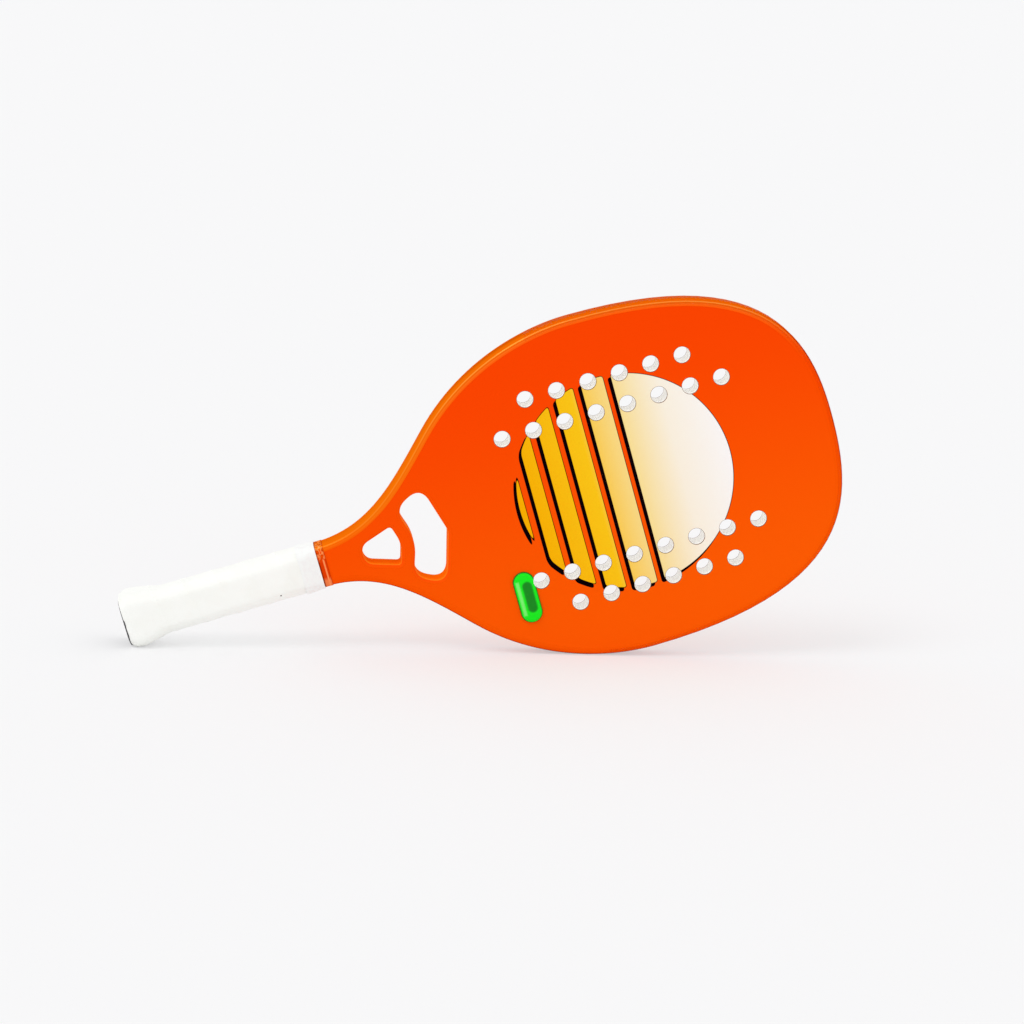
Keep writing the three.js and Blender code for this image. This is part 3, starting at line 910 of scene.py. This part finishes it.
# the flat of the face, as a skin or as the room for it
def addFacePlate(name, fromZ, toZ, clearance):
    plate = addPlate(name, [outlineCurve()], fromZ, toZ, 0, skin["inset"] + clearance)
    curves = [sheetCurve(), openingCurve("small"), openingCurve("large")]
    below, above = fromZ - shaping["overrun"], toZ + shaping["overrun"]
    pierced = addPlate("pierced", curves, below, above, 0, skin["throatInset"] + clearance)
    combine(plate, pierced, "INTERSECT")
    trim(plate, skin["from"] + clearance, True)
    return plate


# the plate inside the hoop, as the core or as the room for it
def addCorePlate(name, height, clearance):
    plate = addPlate(name, [outlineCurve(True)], -height, height, 0, hoop["tubeWidth"] + clearance)
    (tipAt, _, _), (farAt, farHalf, _) = openings["large"][:2]
    slope = (tipAt - farAt) / farHalf
    apex = tipAt + (openings["bridgeWidth"] + clearance) * math.hypot(1, slope)
    aside = hoop["halfWidth"]
    cornerAt = apex - slope * aside
    corners = ((apex, 0), (cornerAt, aside), (0, aside), (0, -aside), (cornerAt, -aside))
    reach = height + shaping["overrun"]
    wedge = addPlate("wedge", [[straightPoint(x, y) for x, y in corners]], -reach, reach)
    combine(plate, wedge)
    return plate


perforation = {
    "diameter": 11.2,
    "pitch": 22,
    "firstAt": 279.2,
    "rows": ((51, 0, 8), (73, 1, 6)),  # distance from the long axis, pitches skipped, holes
    "chamfer": 0.3,
    "flareShare": 3,  # height of the countersinking end, in chamfers
    "sides": 48,
}


# one drill, copied to every hole; its upper end may widen into a countersink
def addDrills(fromZ, toZ, flareUp=False):
    clearSelection()
    radius = perforation["diameter"] / 2
    top = toZ - perforation["chamfer"] if flareUp else toZ
    bpy.ops.mesh.primitive_cylinder_add(
        vertices=perforation["sides"],
        radius=radius * mm,
        depth=(top - fromZ) * mm,
        location=(0, 0, (top + fromZ) / 2 * mm),
    )
    drill = bpy.context.object
    bpy.ops.object.transform_apply()
    if flareUp:
        bpy.ops.object.mode_set(mode="EDIT")
        bpy.ops.mesh.select_mode(type="FACE")
        bpy.ops.mesh.select_all(action="DESELECT")
        endEdit()
        for face in drill.data.polygons:
            face.select = face.normal.z > shaping["facesUp"]
        bpy.ops.object.mode_set(mode="EDIT")
        rise = perforation["flareShare"] * perforation["chamfer"]
        bpy.ops.mesh.extrude_region_move(TRANSFORM_OT_translate={"value": (0, 0, rise * mm)})
        wider = (radius + rise) / radius
        bpy.ops.transform.resize(value=(wider, wider, 1), center_override=(0, 0, 0))
        endEdit()
    copies = []
    for side in (-1, 1):
        for distance, skipped, count in perforation["rows"]:
            for index in range(count):
                copy = drill.copy()
                copy.data = drill.data.copy()
                x = perforation["firstAt"] + (index + skipped) * perforation["pitch"]
                copy.data.transform(Matrix.Translation((x * mm, side * distance * mm, 0)))
                bpy.context.scene.collection.objects.link(copy)
                copies.append(copy)
    bpy.data.objects.remove(drill)
    clearSelection()
    for copy in copies:
        copy.select_set(True)
    bpy.context.view_layer.objects.active = copies[0]
    bpy.ops.object.join()
    return bpy.context.object


# a twin behind the racket's middle plane
def mirrorDown(piece, name):
    clearSelection()
    twin = piece.copy()
    twin.data = piece.data.copy()
    twin.name = name
    bpy.context.scene.collection.objects.link(twin)
    twin.data.transform(Matrix.Scale(-1, 4, (0, 0, 1)))
    merge(twin)
    return twin


def buildFrame(material):
    half = hoop["thickness"] / 2
    body = addPlate("mouldedFrame", [outlineCurve()], -half, half, hoop["edgeRound"])
    curves = [sheetCurve(), openingCurve("small"), openingCurve("large")]
    lip = skin["seam"]
    pierced = addPlate("pierced", curves, -half - lip, half + lip, openings["edgeRound"])
    combine(body, pierced, "INTERSECT")
    recess = addFacePlate("recess", half - skin["thickness"], half + shaping["overrun"], 0)
    lowerRecess = mirrorDown(recess, "lowerRecess")
    combine(body, recess)
    combine(body, lowerRecess)
    combine(body, addCorePlate("coreRoom", half - skin["thickness"] / 2, 0))
    trim(body, hoop["legsFrom"], True)
    finishPiece(body, material, ("frame_tube", "head_bridge", "heart_bridge"))


def buildSkins(material):
    half = hoop["thickness"] / 2
    front = addFacePlate("frontSkin", half - skin["thickness"], half, skin["seam"])
    combine(front, addDrills(half - skin["thickness"] - shaping["overrun"], half, True))
    back = mirrorDown(front, "backSkin")
    finishPiece(front, material, ("front_skin",))
    finishPiece(back, material, ("back_skin",))


def buildCore(material):
    half = hoop["thickness"] / 2 - skin["thickness"] - skin["seam"]
    core = addCorePlate("headCore", half, skin["seam"])
    reach = half + shaping["overrun"]
    combine(core, addDrills(-reach, reach))
    finishPiece(core, material, ("head_core",))


layers = {
    "filmOut": 0.25,
    "filmFrom": 311.5,
    "filmThickness": 0.2,
    "faceNormal": 0.936,  # the film ends where the rounded edge turns this much to the front
    "collarOut": 0.4,
    "collarFrom": 137.3,
    "collarTo": 142.6,
    "collarThickness": 0.35,
}


# a thin layer over the frame's outside
def addLayer(name, out, fromX, toX, thickness, openFaces):
    half = hoop["thickness"] / 2 + out
    layer = addPlate(name, [outlineCurve()], -half, half, hoop["edgeRound"] + out, -out)
    trim(layer, fromX, True, False)
    if toX:
        trim(layer, toX, False, False)
    if openFaces:
        pick(layer)
        bpy.ops.object.mode_set(mode="EDIT")
        bpy.ops.mesh.select_mode(type="FACE")
        bpy.ops.mesh.select_all(action="DESELECT")
        endEdit()
        for face in layer.data.polygons:
            face.select = abs(face.normal.z) > layers["faceNormal"]
        bpy.ops.object.mode_set(mode="EDIT")
        bpy.ops.mesh.delete(type="FACE")
        endEdit()
    applyModifier(layer, "SOLIDIFY", thickness=thickness * mm, offset=-1)
    return layer


def buildFilm(material):
    rim = addLayer("rimFilm", layers["filmOut"], layers["filmFrom"], 0, layers["filmThickness"], True)
    finishPiece(rim, material, ("rim_film",))


def buildCollar(material):
    collar = addLayer(
        "neckCollar",
        layers["collarOut"],
        layers["collarFrom"],
        layers["collarTo"],
        layers["collarThickness"],
        False,
    )
    finishPiece(collar, material, ("neck_collar",))


# the handle's outer surface, in millimetres
grip = {
    "halfDepth": 12.2,
    "out": 1.9,  # over the legs
    "chamfer": 5.6,
    "sharpness": 28,  # of the octagon's corners
    "end": 126,
    "thinBy": 0.9,
    "from": 0.68,
    "fromSlope": 0.019,  # the strip's edge runs aslant and leaves more of the cap bare at one side
    "edgeDrop": 0.9,
    "edgeDropCovered": 0.3,
    "bareBy": (-0.5, 0),  # from the covered side round to the bare one
    "edgeReach": 1.6,
    "flareRise": 3.4,
    "flareFlatTo": 8.5,
    "flareEnd": 31.5,
    "endDrop": 1.8,
    "endRound": 6,
    "pitch": 22,
    "turnsBefore": 1.1,
    "turnsAfter": 0.1,
    "lapHeight": 0.4,
    "lapShare": 0.35,
    "rowShares": (  # places of the rows across the strip, close together at the edges of a lap
        0, 0.004, 0.009, 0.016, 0.03, 0.06, 0.1, 0.15, 0.2, 0.26, 0.32,
        0.4, 0.48, 0.56, 0.64, 0.72, 0.8, 0.87, 0.93, 0.97, 0.99, 1,
    ),
    "thickness": 1.0,
    "columns": 96,  # in one turn
    "waver": 0.22,
    "waverLength": 9,
}


def softStep(value, start, end):
    share = min(max((value - start) / (end - start), 0), 1)
    return share * share * (3 - 2 * share)


def legHalfAt(x):
    start, end = hoop["swell"]
    share = min(max((x - start) / (end - start), 0), 1)
    return hoop["handleHalf"] + (hoop["neckHalf"] - hoop["handleHalf"]) * share


def flareAt(x):
    rise = grip["flareRise"] * softStep(grip["flareEnd"] - x, 0, grip["flareEnd"] - grip["flareFlatTo"])
    return rise - grip["endDrop"] * softStep(grip["endRound"] - x, 0, grip["endRound"])


def thinningAt(x):
    return softStep(x, grip["end"] - (hoop["swell"][1] - hoop["swell"][0]), grip["end"])


# radius of a soft eight-sided section in one direction
def octagonRadius(angle, halfWidth, halfDepth, chamfer):
    sideways, upwards = abs(math.cos(angle)), abs(math.sin(angle))
    power = grip["sharpness"]
    nearness = (
        (sideways / halfWidth) ** power
        + (upwards / halfDepth) ** power
        + ((sideways + upwards) / (halfWidth + halfDepth - chamfer)) ** power
    )
    return nearness ** (-1 / power)


def gripRadius(x, angle, out=0):
    stand = grip["out"] + flareAt(x) - grip["thinBy"] * thinningAt(x) + out
    return octagonRadius(angle, legHalfAt(x) + stand, grip["halfDepth"] + stand, grip["chamfer"])


def aroundHandle(x, angle, radius):
    return Vector((x, radius * math.cos(angle), radius * math.sin(angle))) * mm


# a flat grid bent into a surface by a function of its two shares
def bendGrid(name, columns, rows, placeAt):
    clearSelection()
    bpy.ops.mesh.primitive_grid_add(x_subdivisions=columns, y_subdivisions=rows, size=1)
    piece = bpy.context.object
    piece.name = name
    for vertex in piece.data.vertices:
        vertex.co = placeAt(vertex.co.x + 0.5, vertex.co.y + 0.5)
    merge(piece, shaping["mergeGrids"])
    return piece


def buildGrip(material):
    turnsFrom = -grip["turnsBefore"]
    turnsTo = grip["end"] / grip["pitch"] + grip["turnsAfter"]
    columns = round((turnsTo - turnsFrom) * grip["columns"])
    steps = len(grip["rowShares"]) - 1

    def placeAt(alongShare, acrossShare):
        turn = turnsFrom + round(alongShare * columns) / grip["columns"]
        share = grip["rowShares"][round(acrossShare * steps)]
        x = grip["pitch"] * (turn + share)
        angle = 2 * math.pi * turn
        lap = grip["lapHeight"] * max(0, 1 - share / grip["lapShare"]) * (1 - thinningAt(x))
        if share == 0:  # the strip's edge goes down to the turn below
            lap = 0
        waverPlace = (x / grip["waverLength"], math.cos(angle), math.sin(angle))
        waver = noise.noise(Vector(waverPlace)) * grip["waver"]
        radius = gripRadius(x, angle)
        edgeAt = grip["from"] - grip["fromSlope"] * radius * math.cos(angle)
        bare = softStep(-math.cos(angle), *grip["bareBy"])
        drop = grip["edgeDropCovered"] + (grip["edgeDrop"] - grip["edgeDropCovered"]) * bare
        drop = drop * softStep(edgeAt + grip["edgeReach"] - x, 0, grip["edgeReach"])
        return aroundHandle(x, angle, radius + lap + waver - drop)

    wrap = bendGrid("gripWrap", columns, steps, placeAt)
    trim(wrap, grip["from"], True, False, grip["fromSlope"])
    trim(wrap, grip["end"], False, False)
    merge(wrap)
    applyModifier(wrap, "SOLIDIFY", thickness=grip["thickness"] * mm, offset=-1)
    finishPiece(wrap, material, ("grip_wrap",))


tape = {
    "from": 124,
    "to": 137,
    "thickness": 0.5,
    "over": 0.3,
    "neckDepth": 10.7,
    "neckChamfer": 3.6,
    "columns": 128,
    "rows": 20,
    "seamAngle": -2.5,  # radians
    "seamStep": 0.18,
}


def buildTape(material):
    neckOut = tape["over"] + tape["thickness"]

    def placeAt(aroundShare, alongShare):
        x = tape["from"] + (tape["to"] - tape["from"]) * alongShare
        angle = tape["seamAngle"] + 2 * math.pi * aroundShare
        onGrip = gripRadius(min(x, grip["end"]), angle, tape["thickness"])
        onNeck = octagonRadius(
            angle,
            hoop["neckHalf"] + neckOut,
            tape["neckDepth"] + neckOut,
            tape["neckChamfer"],
        )
        share = min(max((x - grip["end"]) / (tape["to"] - grip["end"]), 0), 1)
        radius = onGrip + (onNeck - onGrip) * share + tape["seamStep"] * aroundShare
        return aroundHandle(x, angle, radius)

    roll = bendGrid("finishingTape", tape["columns"], tape["rows"], placeAt)
    applyModifier(roll, "SOLIDIFY", thickness=tape["thickness"] * mm, offset=-1)
    finishPiece(roll, material, ("finishing_tape",))


cap = {
    "steps": (  # place along the handle, and height over the grip: the lip, then what the grip covers
        (0, -1.25),
        (0.2, -0.75),
        (0.5, -0.5),
        (1.0, -0.5),
        (1.05, -1.55),
        (3, -1.55),
        (8, -1.55),
        (14, -1.55),
        (24, -1.55),
    ),
    "columns": 96,
    "wall": 0.8,
    "rim": 2.2,
    "groove": 0.4,
}


def buildCap(material):
    rows = len(cap["steps"]) - 1

    def placeAt(aroundShare, alongShare):
        x, out = cap["steps"][round(alongShare * rows)]
        angle = 2 * math.pi * aroundShare
        return aroundHandle(x, angle, gripRadius(x, angle, out))

    end = bendGrid("buttCap", cap["columns"], rows, placeAt)
    pick(end)
    bpy.ops.object.mode_set(mode="EDIT")
    bpy.ops.mesh.select_mode(type="VERT")
    bpy.ops.mesh.select_all(action="DESELECT")
    endEdit()
    for vertex in end.data.vertices:
        vertex.select = vertex.co.x < shaping["onFace"] * mm
    bpy.ops.object.mode_set(mode="EDIT")
    bpy.ops.mesh.edge_face_add()
    bpy.ops.mesh.inset(thickness=cap["rim"] * mm)
    for depth in (-cap["groove"], cap["groove"]):
        bpy.ops.mesh.inset(thickness=cap["groove"] * mm, depth=depth * mm)
    bpy.ops.mesh.select_all(action="SELECT")
    bpy.ops.mesh.normals_make_consistent(inside=False)
    endEdit()
    applyModifier(end, "SOLIDIFY", thickness=cap["wall"] * mm, offset=-1)
    finishPiece(end, material, ("butt_cap",))


def badgeCurve():
    half, reach = badge["width"] / 2, badge["length"] / 2
    x, y = badge["at"], badge["across"]
    pull = half * arcPull
    straight = reach - half
    return [
        ((x + half, y + straight), (x + half, y + straight), (x + half, y + straight + pull)),
        ((x, y + reach), (x + pull, y + reach), (x - pull, y + reach)),
        ((x - half, y + straight), (x - half, y + straight + pull), (x - half, y + straight)),
        ((x - half, y - straight), (x - half, y - straight), (x - half, y - straight - pull)),
        ((x, y - reach), (x - pull, y - reach), (x + pull, y - reach)),
        ((x + half, y - straight), (x + half, y - straight - pull), (x + half, y - straight)),
    ]


def buildBadge(labelMaterial, domeMaterial):
    face = hoop["thickness"] / 2
    top = face + badge["label"] + badge["dome"]
    drillFrom, drillTo = face - shaping["overrun"], top + shaping["overrun"]
    label = addPlate("badgeLabel", [badgeCurve()], face, face + badge["label"])
    combine(label, addDrills(drillFrom, drillTo))
    finishPiece(label, labelMaterial, ("badge_label",))
    crown = badge["crown"]
    dome = addPlate("badgeDome", [badgeCurve()], -3 * crown, crown, crown)  # its lower part is cut off
    editAll(dome)
    bpy.ops.mesh.bisect(plane_co=(0, 0, 0), plane_no=(0, 0, 1), use_fill=True, clear_inner=True)
    endEdit()
    dome.data.transform(Matrix.Scale(badge["dome"] / crown, 4, (0, 0, 1)))
    dome.data.transform(Matrix.Translation((0, 0, (face + badge["label"]) * mm)))
    merge(dome)
    combine(dome, addDrills(drillFrom, drillTo))
    finishPiece(dome, domeMaterial, ("badge_dome",))


# nodes of the frame that stay, inside the handle
def dressHidden(namesStart, material):
    for name, node in frame["nodes"].items():
        if name.startswith(namesStart):
            node.data.materials.clear()
            node.data.materials.append(material)


stageLook = {
    "floorSize": 30.0,
    "floorShine": {
        "Base Color": (0.93, 0.93, 0.937, 1),
        "Roughness": 0.9,
        "Specular IOR Level": 0.1,
    },
    "floorShown": 0.5,  # how much of the floor's own light and shade is seen
    "worldColor": (1.0, 1.0, 1.0, 1),
    "worldLight": 0.87,
    "backdrop": (0.935, 0.935, 0.943, 1),
    "lampFrom": (-1.0, -0.8, 2.0),
    "lampAngle": 26,  # degrees
    "lampPower": 0.55,
}


# 1 on rays that show a surface, and 0 on those that only light another
def seenRays(wire):
    path = wire.node("ShaderNodeLightPath").socket.node
    names = ("Is Camera Ray", "Is Glossy Ray", "Is Transmission Ray")
    camera, glossy, transmitted = [Wire(wire.tree, path.outputs[name]) for name in names]
    return camera.most(glossy).most(transmitted)


def addFloor():
    clearSelection()
    bpy.ops.mesh.primitive_plane_add(size=stageLook["floorSize"])
    floor = bpy.context.object
    floor.name = "floor"
    material = bpy.data.materials.new("floorPaper")
    material.use_nodes = True
    tree = material.node_tree
    shader = tree.nodes["Principled BSDF"]
    for name, value in stageLook["floorShine"].items():
        shader.inputs[name].default_value = value
    wire = Wire(tree)
    plain = wire.node("ShaderNodeEmission", sockets={"Color": stageLook["backdrop"]})
    paper = Wire(tree, shader.outputs[0])
    plainShare = seenRays(wire) * (1 - stageLook["floorShown"])
    mixed = wire.node("ShaderNodeMixShader", sockets={0: plainShare, 1: paper, 2: plain})
    tree.links.new(mixed.socket, tree.nodes["Material Output"].inputs["Surface"])
    floor.data.materials.append(material)


def addLight():
    world = bpy.data.worlds.new("studio")
    bpy.context.scene.world = world
    world.use_nodes = True
    tree = world.node_tree
    light = tree.nodes["Background"]
    light.inputs["Color"].default_value = stageLook["worldColor"]
    light.inputs["Strength"].default_value = stageLook["worldLight"]
    wire = Wire(tree)
    lit = Wire(tree, light.outputs[0])
    seen = wire.node("ShaderNodeBackground", sockets={"Color": stageLook["backdrop"], "Strength": 1.0})
    mixed = wire.node("ShaderNodeMixShader", sockets={0: seenRays(wire), 1: lit, 2: seen})
    tree.links.new(mixed.socket, tree.nodes["World Output"].inputs["Surface"])
    data = bpy.data.lights.new("softKey", "SUN")
    data.angle = math.radians(stageLook["lampAngle"])
    data.energy = stageLook["lampPower"]
    lamp = bpy.data.objects.new("softKey", data)
    lamp.location = stageLook["lampFrom"]
    lamp.rotation_euler = (-lamp.location).to_track_quat("-Z", "Y").to_euler()
    bpy.context.scene.collection.objects.link(lamp)


addCamera()
addFloor()
addLight()
bpy.context.scene.view_settings.view_transform = "Standard"
print("stage ready")

buildFrame(makeFrameLacquer())
buildSkins(makeFaceLacquer())
buildCore(makeCoreFoam())
print("head ready")
buildFilm(makeClearFilm())
buildCollar(makeCollarFilm())
badgePrint = makeBadgePrint("badgePrint", badge["shine"])
badgeResin = makeBadgePrint("badgeResin", badge["domeShine"])
buildBadge(badgePrint, badgeResin)
print("trim ready")
buildGrip(makeGripLeather())
buildTape(makeTapePaper())
buildCap(makeCapPlastic())
dressHidden("pallet", makePalletFoam())
dressHidden("butt_cap_staple", makeStapleSteel())
print("handle ready")
